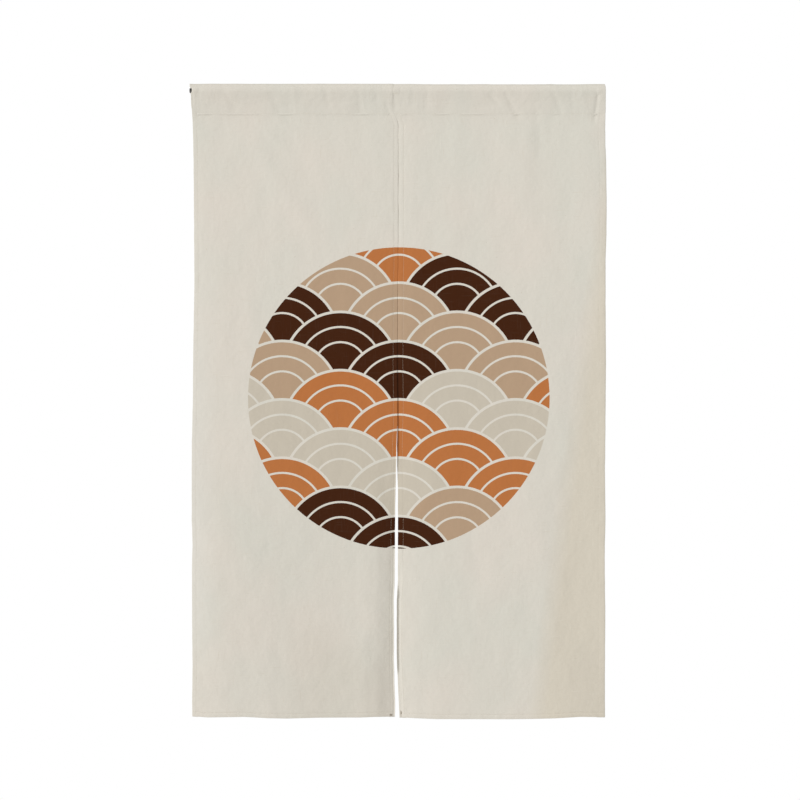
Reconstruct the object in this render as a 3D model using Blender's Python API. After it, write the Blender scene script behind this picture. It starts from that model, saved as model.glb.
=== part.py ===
"""Split doorway curtain of two cloth panels, hung by a pocket on a plain round rod.

Metres, +Z up, +X to the right, front of the cloth facing -Y.
The origin is the centre of the rod's left end face, and the rod runs along +X.
Each panel is one closed solid: its cloth, its turned hems and its share of the rod pocket.
"""

import math
from collections import namedtuple

import bmesh
import bpy
from mathutils import Vector

# Overall sizes
ROD_LENGTH = 0.8535
ROD_RADIUS = 0.0120
ROD_CHAMFER = 0.0010
PIN_RADIUS = 0.0047
PIN_LENGTH = 0.0076
PIN_CHAMFER = 0.0004
ROD_SIDES = 40
POCKET_DROP = 0.0475
CURTAIN_FOOT = -1.2890

# Cloth
CLOTH = 0.0012
HEM_LAYER = 0.0011
HEM_STEP = 0.0010
BOTTOM_HEM = 0.0100
OUTER_HEM = 0.0090
INNER_HEM = 0.0095
RIGHT_OUTER_HEM = 0.0120

# Slack between the rod and the inside of each panel's pocket
LEFT_SLACK = 0.0010
RIGHT_SLACK = 0.0006

# Pocket section, as angles round the rod from its front, positive upward
POCKET_GRIP = math.radians(-24.0)
POCKET_ANGLES = (-24, -11, 2, 16, 32, 52, 74, 96, 118, 140, 162, 183, 204)
POCKET_LEG_SHARES = (0.30, 0.62, 0.93)
STITCH_SEAM = 0.0016
ROD_SHOWS_DOWN_TO = -0.0080
LEG_FOOT_SLOPE = 0.22

# Mesh spacing
MAIN_COLUMNS = 15
MAIN_ROWS = 27
UPPER_ROWS = (-0.0620, -0.0800, -0.1050)

Edge = namedtuple("Edge", "z x")
Foot = namedtuple("Foot", "x z")
Turn = namedtuple("Turn", "start_x end_x depth start_z full_z")
Ridge = namedtuple("Ridge", "top_x top_z foot_x foot_z half_width forward")

LEFT_OUTER_EDGE = (
    Edge(0.0140, 0.0004),
    Edge(0.0092, 0.0012),
    Edge(0.0064, 0.0012),
    Edge(0.0052, 0.0046),
    Edge(0.0025, 0.0059),
    Edge(-0.0025, 0.0061),
    Edge(-0.0052, 0.0052),
    Edge(-0.0080, 0.0038),
    Edge(-0.0326, 0.0038),
    Edge(-0.0402, 0.0047),
    Edge(-0.0483, 0.0051),
    Edge(-0.0600, 0.0058),
    Edge(-0.1000, 0.0071),
    Edge(-0.1960, 0.0083),
    Edge(-0.3935, 0.0095),
    Edge(-0.5400, 0.0071),
    Edge(-0.6400, 0.0063),
    Edge(-0.7390, 0.0041),
    Edge(-0.8870, 0.0041),
    Edge(-0.9360, 0.0055),
    Edge(-0.9850, 0.0044),
    Edge(-1.1330, 0.0049),
    Edge(-1.1830, 0.0056),
    Edge(-1.2610, 0.0048),
    Edge(-1.2900, 0.0052),
)

LEFT_INNER_EDGE = (
    Edge(0.0140, 0.4176),
    Edge(-0.0420, 0.4178),
    Edge(-0.0670, 0.4287),
    Edge(-0.3000, 0.4287),
    Edge(-0.4880, 0.4275),
    Edge(-0.5600, 0.4266),
    Edge(-0.6300, 0.4275),
    Edge(-0.6800, 0.4272),
    Edge(-0.7200, 0.4252),
    Edge(-0.7900, 0.4238),
    Edge(-0.8500, 0.4224),
    Edge(-0.9150, 0.4219),
    Edge(-1.0140, 0.4212),
    Edge(-1.0470, 0.4194),
    Edge(-1.1130, 0.4200),
    Edge(-1.1700, 0.4196),
    Edge(-1.2110, 0.4206),
    Edge(-1.2650, 0.4222),
    Edge(-1.2900, 0.4216),
)

RIGHT_INNER_EDGE = (
    Edge(0.0140, 0.4180),
    Edge(-0.0420, 0.4182),
    Edge(-0.0670, 0.4292),
    Edge(-0.3000, 0.4292),
    Edge(-0.4880, 0.4279),
    Edge(-0.5600, 0.4270),
    Edge(-0.6300, 0.4279),
    Edge(-0.6800, 0.4276),
    Edge(-0.7300, 0.4263),
    Edge(-0.7700, 0.4268),
    Edge(-0.8200, 0.4284),
    Edge(-1.0060, 0.4283),
    Edge(-1.0470, 0.4258),
    Edge(-1.1500, 0.4256),
    Edge(-1.1800, 0.4262),
    Edge(-1.2110, 0.4280),
    Edge(-1.2440, 0.4293),
    Edge(-1.2900, 0.4316),
)

RIGHT_OUTER_EDGE = (
    Edge(0.0140, 0.8530),
    Edge(0.0092, 0.8535),
    Edge(0.0020, 0.8540),
    Edge(-0.0090, 0.8540),
    Edge(-0.0250, 0.8546),
    Edge(-0.0400, 0.8551),
    Edge(-0.0480, 0.8546),
    Edge(-0.0800, 0.8543),
    Edge(-0.1100, 0.8546),
    Edge(-0.1390, 0.8561),
    Edge(-0.2250, 0.8572),
    Edge(-0.2950, 0.8568),
    Edge(-0.3440, 0.8549),
    Edge(-0.4430, 0.8550),
    Edge(-0.5600, 0.8561),
    Edge(-0.6400, 0.8554),
    Edge(-0.7880, 0.8541),
    Edge(-0.8800, 0.8554),
    Edge(-0.9360, 0.8540),
    Edge(-0.9850, 0.8538),
    Edge(-1.0840, 0.8550),
    Edge(-1.2030, 0.8541),
    Edge(-1.2900, 0.8542),
)

LEFT_FOOT = (
    Foot(0.0052, -1.2860),
    Foot(0.0350, -1.2881),
    Foot(0.0625, -1.2876),
    Foot(0.1118, -1.2869),
    Foot(0.1600, -1.2896),
    Foot(0.2000, -1.2908),
    Foot(0.2600, -1.2896),
    Foot(0.3500, -1.2895),
    Foot(0.3800, -1.2885),
    Foot(0.4216, -1.2893),
)

RIGHT_FOOT = (
    Foot(0.4316, -1.2889),
    Foot(0.4570, -1.2895),
    Foot(0.5063, -1.2912),
    Foot(0.6544, -1.2915),
    Foot(0.7037, -1.2910),
    Foot(0.7530, -1.2898),
    Foot(0.8023, -1.2874),
    Foot(0.8540, -1.2883),
)

# Places where the cloth swings back from the flat, between two distances across it
LEFT_TURNS = (
    Turn(0.075, -0.065, 0.0052, -0.060, -0.420),
    Turn(0.060, 0.400, 0.0100, -0.700, -1.000),
    Turn(0.380, 0.440, 0.0076, -0.740, -0.980),
)

RIGHT_TURNS = (
    Turn(0.520, 0.340, 0.0080, -0.480, -0.800),
    Turn(0.750, 0.880, 0.0045, -0.340, -0.640),
    Turn(0.715, 0.800, 0.0025, -0.700, -0.900),
)

# Soft ridges that stand forward of the flat, each along a straight line
LEFT_RIDGES = (
    Ridge(0.110, -0.075, 0.250, -0.290, 0.025, 0.0010),
    Ridge(0.150, -1.170, 0.160, -1.289, 0.022, 0.0010),
    Ridge(0.362, -0.960, 0.356, -1.289, 0.022, 0.0008),
)

RIGHT_RIDGES = (
    Ridge(0.549, -0.040, 0.543, -0.300, 0.016, 0.0005),
    Ridge(0.668, -0.030, 0.676, -0.200, 0.036, 0.0010),
    Ridge(0.686, -0.030, 0.692, -0.170, 0.014, 0.0004),
    Ridge(0.822, -0.030, 0.818, -0.300, 0.026, 0.0008),
)


# Shape of the hanging cloth

def smooth(share):
    """Ease from 0 to 1 with level ends."""
    share = min(max(share, 0.0), 1.0)
    return share * share * (3.0 - 2.0 * share)


def along(rows, at):
    """Second column of a two-column table at a value of its first, straight between rows."""
    rows = sorted(rows)
    if at <= rows[0][0]:
        return rows[0][1]
    for low, high in zip(rows, rows[1:]):
        if at <= high[0]:
            share = (at - low[0]) / (high[0] - low[0])
            return low[1] + share * (high[1] - low[1])
    return rows[-1][1]


def turn_depth(turn, x, z):
    """How far back one turn carries the cloth."""
    across = smooth((x - turn.start_x) / (turn.end_x - turn.start_x))
    down = smooth((z - turn.start_z) / (turn.full_z - turn.start_z))
    return turn.depth * across * down


def ridge_height(ridge, x, z):
    """How far forward one ridge stands, fading out past its two ends."""
    line = Vector((ridge.foot_x - ridge.top_x, ridge.foot_z - ridge.top_z))
    offset = Vector((x - ridge.top_x, z - ridge.top_z))
    length = line.length
    distance_along = offset.dot(line) / length
    distance_off = abs(line.x * offset.y - line.y * offset.x) / length
    reach = 2.0 * ridge.half_width
    ends = smooth((distance_along + reach) / reach) * smooth((length + reach - distance_along) / reach)
    return ridge.forward * ends * math.exp(-((distance_off / ridge.half_width) ** 2))


def fold_depth(turns, ridges, x, z):
    """Depth of the middle of the cloth behind the rod's axis plane."""
    back = sum(turn_depth(turn, x, z) for turn in turns)
    forward = sum(ridge_height(ridge, x, z) for ridge in ridges)
    held_flat = smooth((-POCKET_DROP - z) / 0.050)
    return held_flat * (back - forward)


# Path of the cloth: up the front, over the rod, and down the back to the stitch line

Station = namedtuple("Station", "part at doubled")


def body_stations():
    """Rows from the bottom edge up to the stitch line, by their height above the foot."""
    hem_top = CURTAIN_FOOT + BOTTOM_HEM
    rows = [Station("body", CURTAIN_FOOT, True)]
    rows.append(Station("body", hem_top, True))
    rows.append(Station("body", hem_top + HEM_STEP, False))
    first = hem_top + HEM_STEP
    last = UPPER_ROWS[-1]
    for step in range(1, MAIN_ROWS):
        rows.append(Station("body", first + (last - first) * step / MAIN_ROWS, False))
    for height in reversed(UPPER_ROWS):
        rows.append(Station("body", height, False))
    rows.append(Station("body", -POCKET_DROP - STITCH_SEAM, False))
    return rows


def pocket_stations():
    """Rows from the stitch line round the rod to the last free row of the back leg."""
    rows = [Station("front_leg", 0.0, False)]
    rows += [Station("front_leg", share, False) for share in POCKET_LEG_SHARES]
    rows += [Station("arc", math.radians(angle), False) for angle in POCKET_ANGLES]
    rows += [Station("back_leg", share, False) for share in reversed(POCKET_LEG_SHARES)]
    return rows


def leg_point(share, radius, side):
    """Middle of the cloth on a pocket leg, as depth and height, from stitch line to rod."""
    foot_depth = 0.0 if side < 0 else CLOTH
    foot_height = -POCKET_DROP
    top_depth = side * radius * math.cos(POCKET_GRIP)
    top_height = radius * math.sin(POCKET_GRIP)
    rise = top_height - foot_height
    foot_slope = side * LEG_FOOT_SLOPE * rise
    top_slope = -side * math.tan(POCKET_GRIP) * rise
    square, cube = share ** 2, share ** 3
    depth = (
        (2 * cube - 3 * square + 1) * foot_depth
        + (cube - 2 * square + share) * foot_slope
        + (3 * square - 2 * cube) * top_depth
        + (cube - square) * top_slope
    )
    return depth, foot_height + share * rise


def pocket_point(station, radius):
    """Middle of the cloth at a pocket row, with the outward direction there."""
    if station.part == "arc":
        outward = Vector((-math.cos(station.at), math.sin(station.at)))
        return radius * outward, outward
    side = -1 if station.part == "front_leg" else 1
    step = 0.01
    here = Vector(leg_point(station.at, radius, side))
    ahead = Vector(leg_point(station.at + step, radius, side))
    run = (ahead - here).normalized()
    outward = Vector((side * run.y, -side * run.x))
    return here, outward


Panel = namedtuple("Panel", "name outer inner foot turns ridges slack hems inner_is_right")


def column_places(panel):
    """Columns across a panel: share of the width, offset from there, and doubled or not."""
    left_hem, right_hem = panel.hems
    places = [(0.0, 0.0, True), (0.0, left_hem, True)]
    for step in range(MAIN_COLUMNS + 1):
        share = step / MAIN_COLUMNS
        offset = (left_hem + HEM_STEP) * (1.0 - share) - (right_hem + HEM_STEP) * share
        places.append((share, offset, False))
    places += [(1.0, -right_hem, True), (1.0, 0.0, True)]
    return places


def side_x(panel, height):
    """Left and right edge of a panel at a height."""
    outer = along(panel.outer, height)
    inner = along(panel.inner, height)
    return (outer, inner) if panel.inner_is_right else (inner, outer)


def body_pair(panel, place, station):
    """Front and back point of the cloth below the pocket."""
    share, offset, doubled_column = place
    left, right = side_x(panel, station.at)
    x = left + share * (right - left) + offset
    foot_change = along(panel.foot, x) - CURTAIN_FOOT
    drop_share = (station.at + POCKET_DROP) / (CURTAIN_FOOT + POCKET_DROP)
    z = station.at + foot_change * smooth(drop_share)
    middle = fold_depth(panel.turns, panel.ridges, x, z)
    layers = HEM_LAYER * smooth(drop_share / 0.02) if doubled_column or station.doubled else 0.0
    front = Vector((x, middle - CLOTH / 2, z))
    back = Vector((x, middle + CLOTH / 2 + layers, z))
    return front, back


def pocket_pair(panel, place, station):
    """Outer and inner point of the cloth round the rod."""
    share, offset, _ = place
    radius = ROD_RADIUS + panel.slack + CLOTH / 2
    middle, outward = pocket_point(station, radius)
    edge_height = middle.y
    if station.part == "back_leg":
        edge_height = min(middle.y, ROD_SHOWS_DOWN_TO)
    elif station.part == "arc" and station.at > math.pi / 2:
        edge_height = radius
    left, right = side_x(panel, edge_height)
    x = left + share * (right - left) + offset
    outer = middle + outward * CLOTH / 2
    inner = middle - outward * CLOTH / 2
    return Vector((x, outer.x, outer.y)), Vector((x, inner.x, inner.y))


def panel_faces(columns, rows, seam_row):
    """Corner lists of the closed panel, whose pocket leg ends on the back of the seam rows."""
    faces = []
    last = rows - 1
    outer = lambda column, row: (0, column, row)
    inner = lambda column, row: (1, column, row)
    for c in range(columns - 1):
        for r in range(last):
            faces.append((outer(c, r), outer(c + 1, r), outer(c + 1, r + 1), outer(c, r + 1)))
            if r != seam_row:
                faces.append((inner(c, r), inner(c, r + 1), inner(c + 1, r + 1), inner(c + 1, r)))
        seam, above = seam_row, seam_row + 1
        faces.append((outer(c, last), outer(c + 1, last), inner(c + 1, seam), inner(c, seam)))
        faces.append((inner(c, last), inner(c, above), inner(c + 1, above), inner(c + 1, last)))
        faces.append((outer(c, 0), inner(c, 0), inner(c + 1, 0), outer(c + 1, 0)))
    for c in (0, columns - 1):
        for r in range(last):
            faces.append((outer(c, r), outer(c, r + 1), inner(c, r + 1), inner(c, r)))
        faces.append((outer(c, last), inner(c, seam_row), inner(c, seam_row + 1), inner(c, last)))
    return faces


# Objects

def finish_object(name, mesh_data, material, sharp_angle):
    """Link a mesh as a named object, smooth but for its sharper edges."""
    mesh = bpy.data.meshes.new(name)
    bmesh.ops.recalc_face_normals(mesh_data, faces=mesh_data.faces)
    for face in mesh_data.faces:
        face.smooth = True
    for edge in mesh_data.edges:
        edge.smooth = edge.calc_face_angle(0.0) < sharp_angle
    mesh_data.to_mesh(mesh)
    mesh_data.free()
    mesh.materials.append(material)
    made = bpy.data.objects.new(name, mesh)
    bpy.context.scene.collection.objects.link(made)
    return made


def plain_material(name, colour, roughness, metallic):
    material = bpy.data.materials.new(name)
    material.use_nodes = True
    shader = material.node_tree.nodes["Principled BSDF"]
    shader.inputs["Base Color"].default_value = (*colour, 1.0)
    shader.inputs["Roughness"].default_value = roughness
    shader.inputs["Metallic"].default_value = metallic
    return material


def cloth_panel(panel, material):
    """One panel: a sheet with hems, closed round the rod by its stitched pocket."""
    body = body_stations()
    stations = body + pocket_stations()
    places = column_places(panel)
    seam_row = len(body) - 1
    mesh_data = bmesh.new()
    corners = {}
    for c, place in enumerate(places):
        for r, station in enumerate(stations):
            pair = body_pair if station.part == "body" else pocket_pair
            front, back = pair(panel, place, station)
            corners[(0, c, r)] = mesh_data.verts.new(front)
            corners[(1, c, r)] = mesh_data.verts.new(back)
    for face in panel_faces(len(places), len(stations), seam_row):
        mesh_data.faces.new([corners[key] for key in face])
    return finish_object(panel.name, mesh_data, material, math.radians(40))


def curtain_rod(material):
    """Plain round rod with a short pin standing out of each end."""
    left_end = (
        (0.0, PIN_RADIUS - PIN_CHAMFER),
        (PIN_CHAMFER, PIN_RADIUS),
        (PIN_LENGTH, PIN_RADIUS),
        (PIN_LENGTH, ROD_RADIUS - ROD_CHAMFER),
        (PIN_LENGTH + ROD_CHAMFER, ROD_RADIUS),
    )
    right_end = tuple((ROD_LENGTH - x, radius) for x, radius in reversed(left_end))
    mesh_data = bmesh.new()
    loops = []
    for x, radius in left_end + right_end:
        loop = []
        for side in range(ROD_SIDES):
            angle = 2 * math.pi * side / ROD_SIDES
            loop.append(mesh_data.verts.new((x, radius * math.cos(angle), radius * math.sin(angle))))
        loops.append(loop)
    for near, far in zip(loops, loops[1:]):
        for side in range(ROD_SIDES):
            following = (side + 1) % ROD_SIDES
            mesh_data.faces.new((near[side], near[following], far[following], far[side]))
    mesh_data.faces.new(loops[0])
    mesh_data.faces.new(loops[-1])
    return finish_object("rod", mesh_data, material, math.radians(30))


def main():
    for leftover in list(bpy.data.objects):
        bpy.data.objects.remove(leftover, do_unlink=True)
    cream_cloth = plain_material("cream_cloth", (0.66, 0.62, 0.54), 0.9, 0.0)
    dark_metal = plain_material("dark_metal", (0.05, 0.05, 0.055), 0.45, 0.6)
    left = Panel(
        "left_panel", LEFT_OUTER_EDGE, LEFT_INNER_EDGE, LEFT_FOOT, LEFT_TURNS, LEFT_RIDGES,
        LEFT_SLACK, (OUTER_HEM, INNER_HEM), True,
    )
    right = Panel(
        "right_panel", RIGHT_OUTER_EDGE, RIGHT_INNER_EDGE, RIGHT_FOOT, RIGHT_TURNS, RIGHT_RIDGES,
        RIGHT_SLACK, (INNER_HEM, RIGHT_OUTER_HEM), False,
    )
    cloth_panel(left, cream_cloth)
    cloth_panel(right, cream_cloth)
    curtain_rod(dark_metal)


main()
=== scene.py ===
"""Looks of a split doorway curtain: two cloth panels with turned hems, hung by a pocket on a rod.

Metres, +X to the right along the rod, +Y to the back, +Z up, origin at the rod's left end.
Each panel is one thin sheet, folded along its hems and over the rod as it was sewn.
"""

import math
from collections import namedtuple

import bmesh
import bpy
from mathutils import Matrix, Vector, noise


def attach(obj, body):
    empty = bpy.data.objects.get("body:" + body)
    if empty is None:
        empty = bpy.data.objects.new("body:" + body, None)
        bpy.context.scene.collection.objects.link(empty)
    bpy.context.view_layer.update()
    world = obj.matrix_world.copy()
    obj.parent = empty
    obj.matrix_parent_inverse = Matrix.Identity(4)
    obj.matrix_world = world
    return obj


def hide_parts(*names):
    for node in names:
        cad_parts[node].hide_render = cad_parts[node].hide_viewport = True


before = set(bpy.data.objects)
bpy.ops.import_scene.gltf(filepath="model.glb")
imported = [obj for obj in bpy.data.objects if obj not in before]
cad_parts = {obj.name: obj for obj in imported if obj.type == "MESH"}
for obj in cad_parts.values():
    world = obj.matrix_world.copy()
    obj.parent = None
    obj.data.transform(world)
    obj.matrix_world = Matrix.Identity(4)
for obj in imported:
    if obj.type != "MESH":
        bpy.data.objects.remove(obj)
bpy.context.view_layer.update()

# Sizes that the solids have too
ROD_LENGTH = 0.8535
ROD_RADIUS = 0.012
PIN_LENGTH = 0.0076
POCKET_DROP = 0.0475
CURTAIN_FOOT = -1.289
SOLID_CLOTH = 0.0012
LEFT_SLACK = 0.001
RIGHT_SLACK = 0.0006
POCKET_GRIP = math.radians(-24.0)
LEG_FOOT_SLOPE = 0.22
LEG_PROBE = 0.01
ROD_SHOWS_DOWN_TO = -0.008
FLAT_BELOW_POCKET = 0.05

# Sewing
CLOTH_THICKNESS = 0.0005
LAYER = 0.0006
FLAP_TURN = 0.009
FLAP_BELOW_STITCH = 0.0022
STITCH_PITCH = 0.0032
STITCH_LENGTH = 0.0025
STITCH_INSET = 0.001
THREAD_RADIUS = 0.00018

# Where the cloth is drawn down tightest on the rod
PRESSED_START = 0.455
PRESSED_END = 0.835
PRESSED_EASE = 0.06
PRESSED_DOWN = 0.0009

# How much the front of the pocket is flatter than round, and at what height
FRONT_FLATTENED = 0.0006
FLATTENED_HEIGHT = -0.001
FLATTENED_HALF = 0.006

# The rod's full thickness starts past its end pin, and the cloth lies on it without reaching in
BAR_START = PIN_LENGTH
BAR_END = ROD_LENGTH - PIN_LENGTH
PIN_EASE = 0.0026
LYING_SOFTNESS = 0.00012

# Where the two panels lap, meet and part beside the split
SEAM_TOP = -0.052
LAP_FOOT = -0.068
SEWN_DOWN_TO = -0.33
SLIT_OPENS = -0.69
SEAM_EASE = 0.01
UNSEWN_EASE = 0.1
SLIT_EASE = 0.03
LAP = 0.0003
SEAM_GAP = 0.00028
UNSEWN_GAP = 0.00025
UNDERLAP = 0.0018

# Mesh spacing, closer by folds and stitches
COLUMN_STEP = 0.0046
ROW_STEP = 0.0052
LEG_ROWS = 13
ARC_ROWS = 30
NEAR_FOLD = (0.0003, 0.0009, 0.0018, 0.0028, 0.0042)
NEAR_STITCH = (-0.0026, -0.0012, -0.0005, 0.0, 0.0005, 0.0012, 0.0026)
BESIDE_HEM = (0.0046, 0.0066, 0.0086, 0.0106, 0.0126, 0.0146)
BEHIND_FOLD = 0.0012
BOTTOM_HEM_MIDDLE = 0.005
HEM_EASE = 0.003
BELOW_POCKET = (0.006, 0.0035, 0.0018, 0.0007)

# Rows by the pocket's stitch line, as shares of a pocket leg up from it
FRONT_LEG_FOOT = (0.0, 0.016, 0.045, 0.09)
BACK_LEG_FOOT = (0.04, 0.015, 0.0, -0.015)

# How far round a fold its points lie, from the layer behind to the front one
FOLD_STEPS = (0.82, 0.5, 0.18)

Edge = namedtuple("Edge", "z x")
Foot = namedtuple("Foot", "x z")
Turn = namedtuple("Turn", "start_x end_x depth start_z full_z")
Ridge = namedtuple("Ridge", "top_x top_z foot_x foot_z half_width forward")
Rise = namedtuple("Rise", "distance height")
Stretch = namedtuple("Stretch", "top foot fade rises")
Hem = namedtuple("Hem", "width stitch groove stretches")
Bumps = namedtuple("Bumps", "height across up seed")
Waver = namedtuple("Waver", "height along layer")
Sag = namedtuple("Sag", "depth length")
Panel = namedtuple("Panel", "name node left right foot turns ridges creases slack left_hem right_hem")

LEFT_OUTER_EDGE = (
    Edge(0.014, 0.0004), Edge(0.0092, 0.0012), Edge(0.0064, 0.0012), Edge(0.0052, 0.0046),
    Edge(0.0025, 0.0059), Edge(-0.0025, 0.0061), Edge(-0.0052, 0.0052), Edge(-0.008, 0.0038),
    Edge(-0.0326, 0.0038), Edge(-0.0402, 0.0047), Edge(-0.0483, 0.0051), Edge(-0.06, 0.0058),
    Edge(-0.1, 0.0071), Edge(-0.196, 0.0083), Edge(-0.3935, 0.0095), Edge(-0.54, 0.0071),
    Edge(-0.64, 0.0063), Edge(-0.739, 0.0041), Edge(-0.887, 0.0041), Edge(-0.936, 0.0055),
    Edge(-0.985, 0.0044), Edge(-1.133, 0.0049), Edge(-1.183, 0.0056), Edge(-1.261, 0.0048),
    Edge(-1.29, 0.0052),
)

LEFT_INNER_EDGE = (
    Edge(0.014, 0.4176), Edge(-0.042, 0.4178), Edge(-0.067, 0.4287), Edge(-0.3, 0.4287),
    Edge(-0.488, 0.4275), Edge(-0.56, 0.4266), Edge(-0.63, 0.4275), Edge(-0.68, 0.4272),
    Edge(-0.72, 0.4252), Edge(-0.79, 0.4238), Edge(-0.85, 0.4224), Edge(-0.915, 0.4219),
    Edge(-1.014, 0.4212), Edge(-1.047, 0.4194), Edge(-1.113, 0.42), Edge(-1.17, 0.4196),
    Edge(-1.211, 0.4206), Edge(-1.265, 0.4222), Edge(-1.29, 0.4216),
)

RIGHT_INNER_EDGE = (
    Edge(0.014, 0.418), Edge(-0.042, 0.4182), Edge(-0.067, 0.4292), Edge(-0.3, 0.4292),
    Edge(-0.488, 0.4279), Edge(-0.56, 0.427), Edge(-0.63, 0.4279), Edge(-0.68, 0.4276),
    Edge(-0.73, 0.4263), Edge(-0.77, 0.4268), Edge(-0.82, 0.4284), Edge(-1.006, 0.4283),
    Edge(-1.047, 0.4258), Edge(-1.15, 0.4256), Edge(-1.18, 0.4262), Edge(-1.211, 0.428),
    Edge(-1.244, 0.4293), Edge(-1.29, 0.4316),
)

RIGHT_OUTER_EDGE = (
    Edge(0.014, 0.853), Edge(0.0092, 0.8535), Edge(0.002, 0.854), Edge(-0.009, 0.854),
    Edge(-0.025, 0.8546), Edge(-0.04, 0.8551), Edge(-0.048, 0.8546), Edge(-0.08, 0.8543),
    Edge(-0.11, 0.8546), Edge(-0.139, 0.8561), Edge(-0.225, 0.8572), Edge(-0.295, 0.8568),
    Edge(-0.344, 0.8549), Edge(-0.443, 0.855), Edge(-0.56, 0.8561), Edge(-0.64, 0.8554),
    Edge(-0.788, 0.8541), Edge(-0.88, 0.8554), Edge(-0.936, 0.854), Edge(-0.985, 0.8538),
    Edge(-1.084, 0.855), Edge(-1.203, 0.8541), Edge(-1.29, 0.8542),
)

LEFT_FOOT = (
    Foot(0.0052, -1.286), Foot(0.035, -1.2881), Foot(0.0625, -1.2876), Foot(0.1118, -1.2869),
    Foot(0.16, -1.2896), Foot(0.2, -1.2908), Foot(0.26, -1.2896), Foot(0.35, -1.2895),
    Foot(0.38, -1.2885), Foot(0.4216, -1.2893),
)

RIGHT_FOOT = (
    Foot(0.4316, -1.2889), Foot(0.457, -1.2895), Foot(0.5063, -1.2912), Foot(0.6544, -1.2915),
    Foot(0.7037, -1.291), Foot(0.753, -1.2898), Foot(0.8023, -1.2874), Foot(0.854, -1.2883),
)

LEFT_TURNS = (
    Turn(0.075, -0.065, 0.0052, -0.06, -0.42), Turn(0.06, 0.4, 0.01, -0.7, -1.0),
    Turn(0.38, 0.44, 0.0076, -0.74, -0.98),
)

RIGHT_TURNS = (
    Turn(0.52, 0.34, 0.008, -0.48, -0.8), Turn(0.75, 0.88, 0.0045, -0.34, -0.64),
    Turn(0.715, 0.8, 0.0025, -0.7, -0.9),
)

LEFT_RIDGES = (
    Ridge(0.11, -0.075, 0.25, -0.29, 0.025, 0.001), Ridge(0.15, -1.17, 0.16, -1.289, 0.022, 0.001),
    Ridge(0.362, -0.96, 0.356, -1.289, 0.022, 0.0008),
)

RIGHT_RIDGES = (
    Ridge(0.549, -0.04, 0.543, -0.3, 0.016, 0.0005), Ridge(0.668, -0.03, 0.676, -0.2, 0.036, 0.001),
    Ridge(0.686, -0.03, 0.692, -0.17, 0.014, 0.0004), Ridge(0.822, -0.03, 0.818, -0.3, 0.026, 0.0008),
)

# Small creases of the pocket and just below it; a negative height is a trough
LEFT_CREASES = (
    Ridge(0.0058, 0.004, 0.0062, -0.03, 0.003, -0.0006),
    Ridge(0.0147, 0.004, 0.0155, -0.052, 0.0016, -0.0002),
    Ridge(0.0209, 0.004, 0.0213, -0.052, 0.0016, -0.0002),
    Ridge(0.07, -0.003, 0.093, -0.036, 0.0045, -0.0008),
    Ridge(0.169, -0.011, 0.184, -0.04, 0.005, -0.0008),
    Ridge(0.215, -0.004, 0.218, -0.036, 0.006, 0.0005),
    Ridge(0.28, -0.001, 0.2845, -0.034, 0.004, -0.0008),
    Ridge(0.346, -0.001, 0.3522, -0.044, 0.004, -0.0007),
    Ridge(0.381, -0.003, 0.385, -0.02, 0.004, -0.0008),
    Ridge(0.4205, 0.01, 0.4215, -0.04, 0.0048, -0.0005),
    Ridge(0.404, -0.03, 0.411, -0.046, 0.004, -0.0005), Ridge(0.185, -0.06, 0.23, -0.095, 0.007, 0.0006),
    Ridge(0.16, -0.085, 0.195, -0.12, 0.006, 0.0006),
)

RIGHT_CREASES = (
    Ridge(0.4205, 0.01, 0.4215, -0.04, 0.0048, -0.0005), Ridge(0.418, 0.01, 0.418, -0.04, 0.014, 0.0004),
    Ridge(0.4589, 0.002, 0.4589, -0.028, 0.003, -0.0008),
    Ridge(0.487, 0.002, 0.4858, -0.036, 0.0034, -0.0009),
    Ridge(0.607, -0.001, 0.634, -0.028, 0.0036, -0.0012),
    Ridge(0.6453, -0.001, 0.675, -0.055, 0.004, -0.0012),
    Ridge(0.7435, -0.001, 0.7626, -0.042, 0.0045, -0.0011),
    Ridge(0.7817, -0.003, 0.788, -0.028, 0.003, -0.0006),
    Ridge(0.8064, -0.003, 0.8125, -0.048, 0.004, 0.0006),
    Ridge(0.8393, -0.001, 0.8331, -0.057, 0.004, -0.0012),
    Ridge(0.715, -0.05, 0.72, -0.13, 0.009, -0.0009),
)

# Height of a hem's front over the cloth beside it, by distance from its fold
OUTER_RISES = (Rise(0.0, -0.00005), Rise(0.003, 0.00005), Rise(0.0078, 0.00005), Rise(0.011, 0.0))
LEFT_HIGH_RISES = (Rise(0.0, -0.0005), Rise(0.016, 0.0))
LEFT_LOW_RISES = (Rise(0.0, -0.0015), Rise(0.06, 0.0))
LEFT_SEAM_RISES = (
    Rise(0.0, -0.00122), Rise(0.0066, -0.001), Rise(0.0107, -0.0006), Rise(0.025, -0.0001),
    Rise(0.033, 0.0),
)
RIGHT_SEAM_RISES = (Rise(0.0, -0.00136), Rise(0.0015, -0.0013), Rise(0.005, -0.0009), Rise(0.03, 0.0))
LEFT_FREE_RISES = (
    Rise(0.0, 0.0002), Rise(0.0016, -0.0016), Rise(0.005, -0.0011), Rise(0.0095, -0.00085),
    Rise(0.036, 0.0),
)
LEFT_CORNER_RISES = (Rise(0.0, -0.0024), Rise(0.016, -0.0024), Rise(0.058, 0.0))
RIGHT_FREE_RISES = (Rise(0.0, -0.0015), Rise(0.003, -0.0014), Rise(0.008, -0.001), Rise(0.036, 0.0))
RIGHT_LOW_RISES = (Rise(0.0, -0.0026), Rise(0.0052, -0.0025), Rise(0.0098, -0.00115), Rise(0.036, 0.0))
CURLED_RISES = (Rise(0.0, 0.0042), Rise(0.0028, -0.0004), Rise(0.0046, 0.0))
RIGHT_OUTER_RISES = (Rise(0.0, -0.0004), Rise(0.003, -0.00003), Rise(0.012, 0.00004), Rise(0.015, 0.0))
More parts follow.
